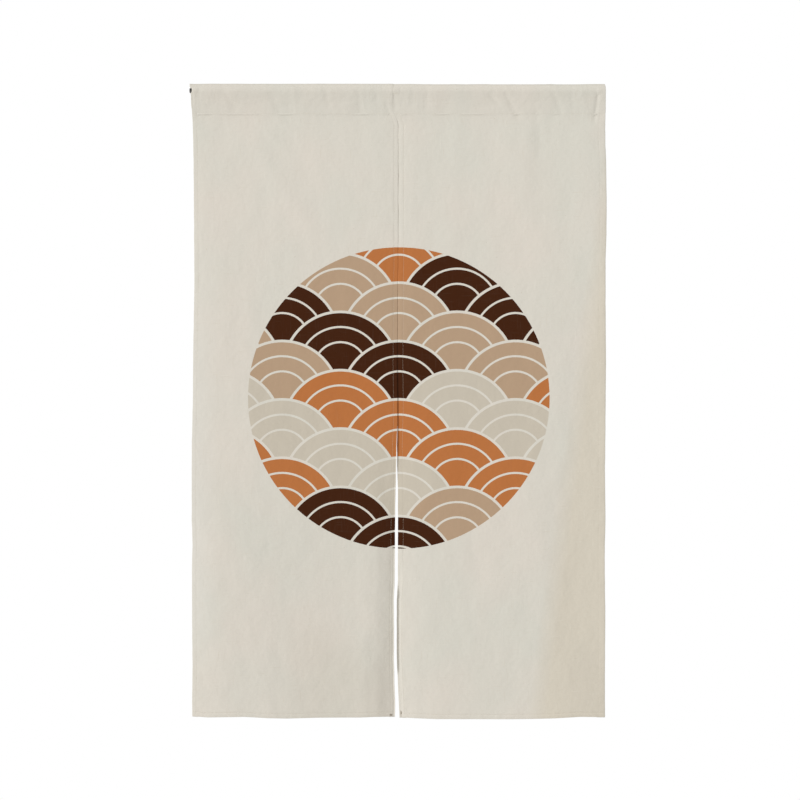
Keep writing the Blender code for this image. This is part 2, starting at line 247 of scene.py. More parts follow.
BOTTOM_RISES = (
    Rise(0.0, 0.0013), Rise(0.0022, 0.00155), Rise(0.0046, 0.0019), Rise(0.0072, 0.001),
    Rise(0.0088, 0.00075), Rise(0.0105, 0.0009), Rise(0.032, 0.0),
)

# Past the foot, so that a stretch has no lower end, and how far off a fold its rises reach
BELOW_FOOT = -1.4
HEM_REACH = 0.06

LEFT_OUTER_HEM = Hem(0.0098, 0.0082, 0.00012, (
    Stretch(SEAM_TOP, BELOW_FOOT, 0.012, OUTER_RISES),
    Stretch(SEAM_TOP, -0.36, 0.06, LEFT_HIGH_RISES),
    Stretch(-0.8, BELOW_FOOT, 0.16, LEFT_LOW_RISES),
))
LEFT_INNER_HEM = Hem(0.0098, 0.0081, 0.00016, (
    Stretch(SEAM_TOP, SLIT_OPENS - 0.02, 0.02, LEFT_SEAM_RISES),
    Stretch(SLIT_OPENS, BELOW_FOOT, 0.04, LEFT_FREE_RISES),
    Stretch(-1.08, BELOW_FOOT, 0.09, LEFT_CORNER_RISES),
))
RIGHT_INNER_HEM = Hem(0.0118, 0.0106, 0.00018, (
    Stretch(SEAM_TOP, SLIT_OPENS - 0.02, 0.02, RIGHT_SEAM_RISES),
    Stretch(SLIT_OPENS, -1.0, 0.04, RIGHT_FREE_RISES),
    Stretch(-0.96, BELOW_FOOT, 0.04, RIGHT_LOW_RISES),
    Stretch(-1.015, -1.205, 0.022, CURLED_RISES),
))
RIGHT_OUTER_HEM = Hem(0.0145, 0.013, 0.00012, (
    Stretch(SEAM_TOP, BELOW_FOOT, 0.012, RIGHT_OUTER_RISES),
))
BOTTOM_HEM = Hem(0.0112, 0.0092, 0.0002, (Stretch(1.0, BELOW_FOOT, 0.1, BOTTOM_RISES),))

# Unevenness of washed cloth, in bumps a metre each way, and how it grows to the foot
CRUMPLES = (
    Bumps(0.0006, 13.0, 8.0, 0.0),
    Bumps(0.00058, 36.0, 27.0, 7.3),
    Bumps(0.00012, 95.0, 80.0, 3.1),
)
CRUMPLE_AT_TOP = 0.85
CRUMPLE_GROWTH = 0.45

# Upright ripples that run down from the stitched pocket, and ripples of its back
HEADING_RIPPLES = Bumps(0.0005, 42.0, 5.0, 11.0)
RIPPLES_START_ABOVE = 0.02
RIPPLES_FADE = 0.085
BACK_RIPPLES = Bumps(0.0004, 60.0, 9.0, 0.0)
BACK_SEED = 20

# Puckers beside stitches, in waves a metre along the line, and how far off it they reach
HEM_PUCKERS = (Waver(0.00018, 150.0, 0.5), Waver(0.000108, 60.0, 4.5))
HEM_PUCKER_REACH = 0.0045
POCKET_PUCKERS = (Waver(0.0004, 75.0, 9.0), Waver(0.0002, 190.0, 2.0))
POCKET_PUCKER_REACH = 0.008
POCKET_PUCKER_END = 0.03
GROOVE_HALF = 0.001
BACK_GROOVE = 0.0004
BACK_GROOVE_HALF = 0.0012
HEM_RELIEF_EASE = 0.012

# Small waver of a folded edge, with its own seed at each edge
EDGE_WAVERS = (Waver(0.00035, 38.0, 1.0), Waver(0.0002, 120.0, 5.0))
EDGE_SEEDS = {"left_cloth": (2.0, 30.0), "right_cloth": (30.0, 5.0)}
PARTED_SEED = 9.0

# How the cloth runs on backwards below the pocket before it hangs straight
SAGS = (Sag(0.0011, 0.008), Sag(0.0024, 0.03))
SAG_FADE = 0.26

LEFT = Panel(
    "left_cloth", "left_panel", LEFT_OUTER_EDGE, LEFT_INNER_EDGE, LEFT_FOOT, LEFT_TURNS,
    LEFT_RIDGES, LEFT_CREASES, LEFT_SLACK, LEFT_OUTER_HEM, LEFT_INNER_HEM,
)
RIGHT = Panel(
    "right_cloth", "right_panel", RIGHT_INNER_EDGE, RIGHT_OUTER_EDGE, RIGHT_FOOT, RIGHT_TURNS,
    RIGHT_RIDGES, RIGHT_CREASES, RIGHT_SLACK, RIGHT_INNER_HEM, RIGHT_OUTER_HEM,
)


# Shape of the hanging cloth, as in the solids

def smooth(share):
    """Ease from 0 to 1 with level ends."""
    share = min(max(share, 0.0), 1.0)
    return share * share * (3.0 - 2.0 * share)


def bell(off, half):
    """1 on a line, falling off to both sides."""
    return math.exp(-((off / half) ** 2))


def along(rows, at):
    """Second column of a two-column table at a value of its first, straight between rows."""
    rows = sorted(rows)
    if at <= rows[0][0]:
        return rows[0][1]
    for low, high in zip(rows, rows[1:]):
        if at <= high[0]:
            share = (at - low[0]) / (high[0] - low[0])
            return low[1] + share * (high[1] - low[1])
    return rows[-1][1]


def turn_depth(turn, x, z):
    """How far back one turn carries the cloth."""
    across = smooth((x - turn.start_x) / (turn.end_x - turn.start_x))
    down = smooth((z - turn.start_z) / (turn.full_z - turn.start_z))
    return turn.depth * across * down


def ridge_height(ridge, x, z):
    """Height of a soft ridge along a straight line, fading out past its two ends."""
    line_x, line_z = ridge.foot_x - ridge.top_x, ridge.foot_z - ridge.top_z
    length = math.hypot(line_x, line_z)
    distance_along = ((x - ridge.top_x) * line_x + (z - ridge.top_z) * line_z) / length
    distance_off = abs(line_x * (z - ridge.top_z) - line_z * (x - ridge.top_x)) / length
    reach = 2.0 * ridge.half_width
    if distance_off > 2 * reach or not -reach < distance_along < length + reach:
        return 0.0
    ends = smooth((distance_along + reach) / reach) * smooth((length + reach - distance_along) / reach)
    return ridge.forward * ends * bell(distance_off, ridge.half_width)


def fold_depth(panel, x, z):
    """Depth of the middle of the cloth behind the rod's axis plane."""
    back = sum(turn_depth(turn, x, z) for turn in panel.turns)
    forward = sum(ridge_height(ridge, x, z) for ridge in panel.ridges)
    held_flat = smooth((-POCKET_DROP - z) / FLAT_BELOW_POCKET)
    return held_flat * (back - forward)


def leg_point(share, radius, side, foot_depth):
    """Middle of the cloth on a pocket leg, as depth and height, from stitch line to rod."""
    top_depth = side * radius * math.cos(POCKET_GRIP)
    rise = radius * math.sin(POCKET_GRIP) + POCKET_DROP
    foot_slope = side * LEG_FOOT_SLOPE * rise
    top_slope = -side * math.tan(POCKET_GRIP) * rise
    square, cube = share ** 2, share ** 3
    depth = (
        (2 * cube - 3 * square + 1) * foot_depth
        + (cube - 2 * square + share) * foot_slope
        + (3 * square - 2 * cube) * top_depth
        + (cube - square) * top_slope
    )
    return Vector((depth, -POCKET_DROP + share * rise))


# Columns and rows of a sheet
# turned goes from 0 on the front layer to 1 on the layer that is folded behind it

Column = namedtuple("Column", "share offset turned hem")
Row = namedtuple("Row", "part at turned bulge", defaults=(0.0, 0.0))


def hem_distances(hem):
    """Distances of the columns from a fold on its front layer, closer by the stitches."""
    return list(NEAR_FOLD) + [hem.stitch + away for away in NEAR_STITCH + BESIDE_HEM]


def side_columns(hem, share, sign):
    """Columns of one side hem, from its raw edge behind, round its fold and past its front."""
    behind = (hem.width, hem.stitch, hem.width * 0.5, BEHIND_FOLD)
    columns = [Column(share, sign * distance, 1.0, 1.0) for distance in behind]
    for turned in FOLD_STEPS:
        bulge = 0.5 - 0.5 * math.sin(math.pi * turned)
        columns.append(Column(share, sign * LAYER * bulge, turned, 1.0))
    for distance in hem_distances(hem):
        in_hem = smooth((hem.width + HEM_EASE - distance) / HEM_EASE)
        columns.append(Column(share, sign * distance, 0.0, in_hem))
    return columns


def sheet_columns(panel):
    """Columns from the raw edge of the left hem, round both folds, to that of the right hem."""
    left = side_columns(panel.left_hem, 0.0, 1.0)
    right = side_columns(panel.right_hem, 1.0, -1.0)[::-1]
    start, end = left[-1].offset, right[0].offset
    width = panel.right[-2].x - panel.left[-2].x
    count = round((width - start + end) / COLUMN_STEP)
    between = []
    for step in range(1, count):
        share = step / count
        between.append(Column(share, start * (1 - share) + end * share, 0.0, 0.0))
    return left + between + right


def body_rows():
    """Rows from the raw edge of the bottom hem, round its fold and up the front to the pocket."""
    behind = (BOTTOM_HEM.width, BOTTOM_HEM.stitch, BOTTOM_HEM_MIDDLE, BEHIND_FOLD)
    rows = [Row("body", CURTAIN_FOOT + distance, 1.0) for distance in behind]
    rows += [Row("body", CURTAIN_FOOT, turned, math.sin(math.pi * turned)) for turned in FOLD_STEPS]
    rows += [Row("body", CURTAIN_FOOT + distance) for distance in hem_distances(BOTTOM_HEM)]
    first = rows[-1].at
    last = -POCKET_DROP - BELOW_POCKET[0]
    count = round((last - first) / ROW_STEP)
    rows += [Row("body", first + (last - first) * step / count) for step in range(1, count + 1)]
    return rows + [Row("body", -POCKET_DROP - distance) for distance in BELOW_POCKET[1:]]


def pocket_rows():
    """Rows from the pocket's stitch line, over the rod and down to the raw edge of the flap."""
    start, end = FRONT_LEG_FOOT[-1], BACK_LEG_FOOT[0]
    rows = [Row("front_leg", share) for share in FRONT_LEG_FOOT]
    rows += [Row("front_leg", start + (1.0 - start) * step / LEG_ROWS) for step in range(1, LEG_ROWS)]
    sweep = math.pi - 2 * POCKET_GRIP
    rows += [Row("arc", POCKET_GRIP + sweep * step / ARC_ROWS) for step in range(ARC_ROWS + 1)]
    rows += [Row("back_leg", 1.0 - (1.0 - end) * step / LEG_ROWS) for step in range(1, LEG_ROWS + 1)]
    rows += [Row("back_leg", share) for share in BACK_LEG_FOOT[1:]]
    leg_length = POCKET_DROP + ROD_RADIUS * math.sin(POCKET_GRIP)
    fold_share = -FLAP_BELOW_STITCH / leg_length
    raw_share = fold_share + FLAP_TURN / leg_length
    for turned in FOLD_STEPS:
        rows.append(Row("back_leg", fold_share, 1 - turned, math.sin(math.pi * turned)))
    return rows + [Row("back_leg", share, 1.0) for share in (0.0, raw_share * 0.5, raw_share)]


def layers_behind(column, row):
    """How many layers back a point of the folded cloth lies."""
    when_flat = column.turned
    when_turned = 1 + 2 * column.hem - column.turned
    return when_flat * (1 - row.turned) + when_turned * row.turned


def fold_bulge(column, row):
    """How far a fold along the sheet stands out past its line."""
    return row.bulge * (0.5 + column.hem * (1 - column.turned)) * LAYER


# Small relief, forward of the sheet

def bumps(kind, x, z, seed):
    return kind.height * noise.noise(Vector((x * kind.across, z * kind.up, seed + kind.seed)))


def waver(kinds, run, seed):
    """Height of some wavers at a place along their line."""
    return sum(kind.height * noise.noise(Vector((run * kind.along, seed, kind.layer))) for kind in kinds)


def crumple(x, z, seed):
    """Uneven surface of washed cloth, a little stronger towards the foot."""
    strength = CRUMPLE_AT_TOP + CRUMPLE_GROWTH * smooth(z / CURTAIN_FOOT)
    return strength * sum(bumps(kind, x, z, seed) for kind in CRUMPLES)


def heading_ripple(x, z, seed):
    """Faint upright ripples that run down from the stitched pocket."""
    below = -POCKET_DROP - z
    if below < -RIPPLES_START_ABOVE:
        return 0.0
    return math.exp(-max(below, 0.0) / RIPPLES_FADE) * bumps(HEADING_RIPPLES, x, z, seed)


def stitch_groove(depth, off, run, seed):
    """The fine groove along a line of stitches and the small puckers beside it."""
    puckers = waver(HEM_PUCKERS, run, seed) * math.exp(-abs(off) / HEM_PUCKER_REACH)
    return puckers - depth * bell(off, GROOVE_HALF)


def stretch_share(stretch, height):
    """1 inside a stretch of an edge, fading to 0 past its top and foot."""
    return smooth((stretch.top - height) / stretch.fade) * smooth((height - stretch.foot) / stretch.fade)


def hem_relief(hem, distance, height, run, seed):
    """Height of a hem's front and its stitching over the cloth beside it."""
    if distance > HEM_REACH:
        return 0.0
    risen = sum(stretch_share(part, height) * along(part.rises, distance) for part in hem.stretches)
    return risen + stitch_groove(hem.groove, distance - hem.stitch, run, seed)


def pocket_stitch_relief(x, above, seed):
    """Puckers along the stitch line that closes the pocket."""
    if abs(above) >= POCKET_PUCKER_END:
        return 0.0
    return waver(POCKET_PUCKERS, x, seed) * math.exp(-abs(above) / POCKET_PUCKER_REACH)


def sag_below_pocket(z):
    """The cloth runs on backwards a little below the pocket before it hangs straight."""
    below = max(-POCKET_DROP - z, 0.0)
    sagged = sum(sag.depth * (1.0 - math.exp(-below / sag.length)) for sag in SAGS)
    return -sagged * math.exp(-below / SAG_FADE)


def front_relief(panel, x, z, to_left, to_right, seed):
    """Everything that stands off the smooth fold of the front layer."""
    height = crumple(x, z, seed) + heading_ripple(x, z, seed)
    below_pocket = smooth((SEAM_TOP - z) / HEM_RELIEF_EASE)
    height += below_pocket * hem_relief(panel.left_hem, to_left, z, z, seed + 1)
    height += below_pocket * hem_relief(panel.right_hem, to_right, z, z, seed + 2)
    height += hem_relief(BOTTOM_HEM, z - along(panel.foot, x), z, x, seed + 3)
    height += pocket_stitch_relief(x, z + POCKET_DROP, seed)
    return height + sag_below_pocket(z) + sum(ridge_height(crease, x, z) for crease in panel.creases)


# Points of a sheet

def side_edges(panel, z):
    """Left and right fold at a height; the panels lap in the pocket and meet along the seam."""
    left_seed, right_seed = EDGE_SEEDS[panel.name]
    closed = smooth((z - SLIT_OPENS) / SLIT_EASE)
    unsewn = closed * smooth((SEWN_DOWN_TO - z) / UNSEWN_EASE)
    above_seam = smooth((z - LAP_FOOT) / SEAM_EASE)
    lap = LAP * above_seam - SEAM_GAP * closed * (1.0 - above_seam) - UNSEWN_GAP * unsewn
    left = along(panel.left, z)
    right = along(panel.right, z)
    if panel is LEFT:
        left += waver(EDGE_WAVERS, z, left_seed)
        right += waver(EDGE_WAVERS, z, right_seed) + lap
    else:
        left += waver(EDGE_WAVERS, z, left_seed) * closed - lap
        left += waver(EDGE_WAVERS, z, left_seed + PARTED_SEED) * (1 - closed)
        right += waver(EDGE_WAVERS, z, right_seed)
    return left, right


def underlap(panel, column, z):
    """How far the right panel's folded hem reaches behind the left one along the closed seam."""
    if panel is LEFT or column.share > 0.0:
        return 0.0
    closed = smooth((z - SLIT_OPENS) / SLIT_EASE) * smooth((SEAM_TOP - z) / SEAM_EASE)
    return UNDERLAP * closed * column.turned


def body_point(panel, column, row, seed):
    """A point of the sheet below the pocket."""
    left, right = side_edges(panel, row.at)
    tuck = underlap(panel, column, row.at)
    x = left + column.share * (right - left) + column.offset - tuck
    foot_change = along(panel.foot, x) - CURTAIN_FOOT
    drop_share = (row.at + POCKET_DROP) / (CURTAIN_FOOT + POCKET_DROP)
    z = row.at + foot_change * smooth(drop_share) - fold_bulge(column, row)
    relief = front_relief(panel, x, z, x - left, right - x, seed)
    depth = fold_depth(panel, x, z) + layers_behind(column, row) * LAYER
    return Vector((x, depth + tuck - relief, z))


def lying_on_rod(panel, column, row, x, place):
    """A point of the pocket, pushed out softly where its layer would reach into the rod."""
    layers_under = max(column.hem - layers_behind(column, row), 0.0)
    closest = ROD_RADIUS + CLOTH_THICKNESS / 2 + panel.slack / 4 + layers_under * LAYER
    distance = place.length
    pushed = closest + LYING_SOFTNESS * math.log1p(math.exp((distance - closest) / LYING_SOFTNESS))
    over_bar = smooth((x - BAR_START) / PIN_EASE + 1.0) * smooth((BAR_END - x) / PIN_EASE + 1.0)
    return place * (1.0 + over_bar * (pushed / distance - 1.0))


def pocket_path(column, row, radius, on_back):
    """Middle of the pocket's cloth as depth and height, and its outward direction."""
    if row.part == "arc":
        outward = Vector((-math.cos(row.at), math.sin(row.at)))
        return radius * outward, outward
    side = 1 if on_back else -1
    foot_depth = (2 + 3 * column.hem) * LAYER if on_back else 0.0
    here = leg_point(row.at, radius, side, foot_depth)
    run = (leg_point(row.at + LEG_PROBE, radius, side, foot_depth) - here).normalized()
    return here, Vector((side * run.y, -side * run.x))


def back_relief(x, z, seed):
    """Small relief of the pocket's back, drawn in along its stitch line."""
    height = crumple(x, z, seed + BACK_SEED) + bumps(BACK_RIPPLES, x, z, seed)
    return height - BACK_GROOVE * bell(z + POCKET_DROP, BACK_GROOVE_HALF)


def pocket_front_relief(panel, row, x, z, left, right, seed):
    """Relief of the pocket's front, calmer over the rod, where the cloth is drawn down on it."""
    relief = front_relief(panel, x, z, x - left, right - x, seed)
    if row.part == "arc":
        relief *= 0.5 + 0.5 * smooth(math.cos(row.at))
        pressed = smooth((x - PRESSED_START) / PRESSED_EASE) * smooth((PRESSED_END - x) / PRESSED_EASE)
        relief -= PRESSED_DOWN * pressed * smooth(math.sin(row.at))
    return relief - FRONT_FLATTENED * bell(z - FLATTENED_HEIGHT, FLATTENED_HALF)


def pocket_point(panel, column, row, seed):
    """A point of the sheet round the rod, or on the flap that is stitched down behind."""
    radius = ROD_RADIUS + panel.slack + SOLID_CLOTH / 2
    on_back = row.part == "back_leg" or (row.part == "arc" and row.at > math.pi / 2)
    middle, outward = pocket_path(column, row, radius, on_back)
    edge_height = middle.y
    if row.part == "back_leg":
        edge_height = min(middle.y, ROD_SHOWS_DOWN_TO)
    elif on_back:
        edge_height = radius
    left, right = side_edges(panel, edge_height)
    x = left + column.share * (right - left) + column.offset
    if on_back:
        relief = back_relief(x, middle.y, seed)
    else:
        relief = pocket_front_relief(panel, row, x, middle.y, left, right, seed)
    place = middle + outward * (relief - layers_behind(column, row) * LAYER)
    place = lying_on_rod(panel, column, row, x, place)
    return Vector((x, place.x, place.y - fold_bulge(column, row)))


def sheet_point(panel, column, row, seed):
    make = body_point if row.part == "body" else pocket_point
    return make(panel, column, row, seed)


# Pieces

def cloth_piece(name, mesh, materials):
    """Link a smooth mesh as a piece that rides on the part."""
    mesh.polygons.foreach_set("use_smooth", [True] * len(mesh.polygons))
    for material in materials:
        mesh.materials.append(material)
    piece = bpy.data.objects.new(name, mesh)
    bpy.context.scene.collection.objects.link(piece)
    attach(piece, "root")
    return piece


def running_lengths(points):
    lengths = [0.0]
    for before, after in zip(points, points[1:]):
        lengths.append(lengths[-1] + (after - before).length)
    return lengths


def grid_mesh(name, grid):
    """A mesh of four-sided faces over a grid of points."""
    wide = len(grid[0])
    faces = []
    for r in range(len(grid) - 1):
        for c in range(wide - 1):
            corner = r * wide + c
            faces.append((corner, corner + 1, corner + wide + 1, corner + wide))
    mesh = bpy.data.meshes.new(name)
    mesh.from_pydata([point for line in grid for point in line], [], faces)
    return mesh


def cloth_sheet(panel, materials, seed):
    """One panel as a grid, with its flat size as a texture map in metres and its hung place as another."""
    columns = sheet_columns(panel)
    rows = body_rows() + pocket_rows()
    grid = [[sheet_point(panel, column, row, seed) for column in columns] for row in rows]
    across = running_lengths(grid[len(grid) // 2])
    up = running_lengths([line[len(columns) // 2] for line in grid])
    mesh = grid_mesh(panel.name, grid)
    flat = mesh.uv_layers.new(name="flat")
    hung = mesh.uv_layers.new(name="hung")
    for loop in mesh.loops:
        r, c = divmod(loop.vertex_index, len(columns))
        flat.data[loop.index].uv = (across[c], up[r])
        hung.data[loop.index].uv = (grid[r][c].x, grid[r][c].z)
    piece = cloth_piece(panel.name, mesh, materials)
    thicken = piece.modifiers.new("thickness", "SOLIDIFY")
    thicken.thickness = CLOTH_THICKNESS
    thicken.offset = 0.0
    thicken.material_offset = 1
    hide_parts(panel.node)
    return piece, (across[-1], up[-1])


# Stitches

STITCH_SIDES = 6
THREAD_SINK = 0.55
SUNK = -0.00007
STITCH_PROBE = 0.0004

Girth = namedtuple("Girth", "share thickness")
STITCH_PROFILE = (Girth(0.0, 0.25), Girth(0.18, 0.85), Girth(0.5, 1.0), Girth(0.82, 0.85), Girth(1.0, 0.25))

# Dark stitches at the inner hem corners that paint the shade of the folded corner
ShadeTack = namedtuple("ShadeTack", "left_x right_x above_foot height bars")
SHADE_TACK_LIFT = 0.0001
SHADE_TACKS = {
    "left_cloth": ShadeTack(0.4115, 0.416, 0.0008, 0.0046, 7),
    "right_cloth": ShadeTack(0.4335, 0.4357, 0.001, 0.013, 4),
}


def stitch_ring(build, middle, outward, aside, radius):
    ring = []
    for side in range(STITCH_SIDES):
        angle = 2 * math.pi * side / STITCH_SIDES
        way = outward * math.cos(angle) + aside * math.sin(angle)
        ring.append(build.verts.new(middle + way * radius))
    return ring


def one_stitch(build, place_at, begin, length, lift, material_index):
    """One raised stitch; place_at gives a point along its line and its outward direction."""
    rings = []
    for share, thickness in STITCH_PROFILE:
        at = begin + share * length
        here, outward = place_at(at)
        ahead, _ = place_at(at + STITCH_PROBE)
        aside = (ahead - here).normalized().cross(outward).normalized()
        middle = here + outward * (lift + THREAD_RADIUS * (math.sin(math.pi * share) - THREAD_SINK))
        rings.append(stitch_ring(build, middle, outward, aside, THREAD_RADIUS * thickness))
    made = [build.faces.new(rings[0][::-1]), build.faces.new(rings[-1])]
    for near, far in zip(rings, rings[1:]):
        for side in range(STITCH_SIDES):
            following = (side + 1) % STITCH_SIDES
            made.append(build.faces.new((near[side], near[following], far[following], far[side])))
    for face in made:
        face.material_index = material_index


def stitch_row(build, place_at, length, lift):
    for index in range(int(length / STITCH_PITCH)):
        one_stitch(build, place_at, index * STITCH_PITCH, STITCH_LENGTH, lift, 0)


def body_surface(panel, x, z, seed, behind):
    """Point on the front or back face of the hemmed body, with its outward direction."""
    left, right = side_edges(panel, z)
    relief = front_relief(panel, x, z, x - left, right - x, seed)
    depth = fold_depth(panel, x, z) - relief
    if behind:
        return Vector((x, depth + LAYER + CLOTH_THICKNESS / 2, z)), Vector((0, 1, 0))
    return Vector((x, depth - CLOTH_THICKNESS / 2, z)), Vector((0, -1, 0))


def corner_shade_stitches(build, panel, seed):
    """Close upright stitches at the corner of the hems beside the split, in dark thread that paints the
    shade of the folded corner.
    """
    tack = SHADE_TACKS[panel.name]
    for bar in range(tack.bars):
        x = tack.left_x + (tack.right_x - tack.left_x) * bar / (tack.bars - 1)

        def upright(at):
            return body_surface(panel, x, along(panel.foot, x) + tack.above_foot + at, seed, False)

        one_stitch(build, upright, 0.0, tack.height, SHADE_TACK_LIFT, 1)


def upright_rows(build, panel, seed, behind):
    """The stitch lines of both side hems on one face."""
    top = -POCKET_DROP - STITCH_INSET
    length = top - CURTAIN_FOOT - BOTTOM_HEM.stitch
    for edge, inward, lift in ((0, panel.left_hem.stitch, 0.0), (1, -panel.right_hem.stitch, SUNK)):

        def line(at):
            z = top - at
            return body_surface(panel, side_edges(panel, z)[edge] + inward, z, seed, behind)

        stitch_row(build, line, length, lift)


def level_rows(build, panel, seed, behind):
    """The stitch lines of the bottom hem and of the pocket on one face."""
    foot_left, foot_right = side_edges(panel, CURTAIN_FOOT + BOTTOM_HEM.stitch)
    pocket_left, pocket_right = side_edges(panel, -POCKET_DROP)

    def foot_line(at):
        x = foot_left + STITCH_INSET + at
        return body_surface(panel, x, along(panel.foot, x) + BOTTOM_HEM.stitch, seed, behind)

    def pocket_line(at):
        x = pocket_left + STITCH_INSET + at
        here, outward = body_surface(panel, x, -POCKET_DROP, seed, behind)
        return here + outward * (LAYER if behind else 0.0), outward

    stitch_row(build, foot_line, foot_right - foot_left - 2 * STITCH_INSET, 0.0)
    stitch_row(build, pocket_line, pocket_right - pocket_left - 2 * STITCH_INSET, SUNK)


def panel_stitches(panel, materials, seed):
    """Both faces of the side hems, the bottom hem and the pocket's stitch line, and the dark corner
    stitches that paint shade.
    """
    build = bmesh.new()
    for behind in (False, True):
        upright_rows(build, panel, seed, behind)
        level_rows(build, panel, seed, behind)
    corner_shade_stitches(build, panel, seed)
    name = panel.name.replace("cloth", "stitches")
    mesh = bpy.data.meshes.new(name)
    build.to_mesh(mesh)
    build.free()
    return cloth_piece(name, mesh, materials)


# Materials

def linear(red, green, blue):
    """Colour as shown on a screen, 0 to 255, turned to light."""
    def one(level):
        level /= 255.0
        return level / 12.92 if level <= 0.04045 else ((level + 0.055) / 1.055) ** 2.4
    return (one(red), one(green), one(blue), 1.0)


CREAM = linear(215, 211, 201)
CREAM_WARM = linear(218, 212, 202)
CREAM_COOL = linear(213, 211, 201)
# Painted shade, darker and warmer, on the free right side
CREAM_RIGHT_SHADE = linear(213, 206, 191)
# Painted highlight along the left edge
CREAM_LEFT_HIGHLIGHT = linear(219, 216, 208)
# Painted shade in the two lower corners
CREAM_LOW_SHADE = linear(203, 196, 183)
SLUB_LIGHT = linear(230, 226, 214)
SLUB_DARK = linear(203, 194, 177)
SEED_FLECK = linear(150, 122, 92)
THREAD = linear(214, 206, 190)
THREAD_DARK = linear(200, 191, 174)
# Dark thread of the corner stitches, painted shade of the folded hem corners
CORNER_SHADE_THREAD = linear(158, 144, 124)
CORNER_SHADE_THREAD_DARK = linear(130, 116, 97)
BROWN = linear(64, 31, 10)
ORANGE = linear(184, 115, 65)
TAN = linear(180, 154, 128)
GREIGE = linear(198, 190, 175)
ROD_PAINT = linear(78, 76, 74)
ROD_WORN = linear(104, 103, 101)
FLOOR_DARK = (0.78, 0.78, 0.77, 1.0)
FLOOR_LIGHT = (0.82, 0.82, 0.81, 1.0)

# Painted shade: the free right side is darker and warmer past a line that leans inwards on its way down
RIGHT_SHADE_LINE_X = 0.81
RIGHT_SHADE_LINE_Z = -0.41
RIGHT_SHADE_LINE_LEAN = 0.135
RIGHT_SHADE_WIDTH = 0.042

# The left edge is lighter with a painted highlight, and the two lower corners are darker with painted shade
# Each pair of places says where a zone starts and where it is full
Zone = namedtuple("Zone", "start full")
LEFT_HIGHLIGHT_ACROSS = Zone(0.06, 0.01)
LEFT_HIGHLIGHT_FROM_TOP = Zone(-0.2, -0.6)
LEFT_HIGHLIGHT_FROM_FOOT = Zone(-1.2, -1.08)
LOW_SHADE_DOWN = Zone(-1.11, -1.19)
LOW_SHADE_FROM_LEFT = Zone(0.17, 0.26)
LOW_SHADE_FROM_SPLIT = Zone(0.425, 0.39)
LOW_SHADE_BY_SIDE = Zone(0.755, 0.81)
LOW_SHADE_LEAN = 0.55
LOW_SHADE_LEAN_FROM = 0.34

# How strongly each tone, painted shade and painted highlight shows
CLOUD_SHARE = 0.35
RIGHT_SHADE_SHARE = 0.92
LEFT_HIGHLIGHT_SHARE = 0.8
LOW_SHADE_SHARE = 0.3
SLUB_SHARE = 0.55
THIN_SHARE = 0.45
FLECK_SHARE = 0.45
REVERSE_INK = 0.16
WORN_SHARE = 0.35

# Noise in grains a metre across and up, shown where it lies between low and high
Grain = namedtuple("Grain", "across up seed detail low high")
TONES = Grain(7.0, 5.0, 1.0, 2.0, 0.35, 0.65)
CLOUDS = Grain(45.0, 38.0, 3.0, 3.0, 0.3, 0.75)
SLUBS_ACROSS = Grain(22.0, 900.0, 8.0, 1.0, 0.66, 0.8)
SLUBS_UP = Grain(900.0, 18.0, 9.0, 1.0, 0.66, 0.8)
THINS_ACROSS = Grain(30.0, 700.0, 13.0, 1.0, 0.66, 0.82)
THINS_UP = Grain(700.0, 26.0, 14.0, 1.0, 0.66, 0.82)
ROD_WEAR = Grain(260.0, 260.0, 3.0, 4.0, 0.62, 0.74)

# Flecks: cells a metre, radius as a share of a cell, and the share of cells left empty
FLECK_CELLS = 55.0
FLECK_RADIUS = 0.032
FLECKS_LEFT_OUT = 0.55

# Weave and relief
THREAD_PITCH = 0.00062
THREAD_STRAY = 0.9
WEAVE_HEIGHT = 0.00004
SLUB_HEIGHT = 0.00012
CRINKLE_HEIGHT = 0.00075
TWIST_PITCH = 0.0006
TWIST_HEIGHT = 0.00002
DRAWN_LINE_HEIGHT = 0.00003

# Print: a round badge of overlapping wave scales, with cloth left bare along its lines
PRINT_CENTRE = (0.43, -0.632)
PRINT_RADIUS = 0.31
SCALE_RADIUS = 0.12
SCALE_LINES = ((0.955, 1.1), (0.7, 0.735), (0.44, 0.475))
INK_BLEED = 0.0012
INK_RUB = 0.03


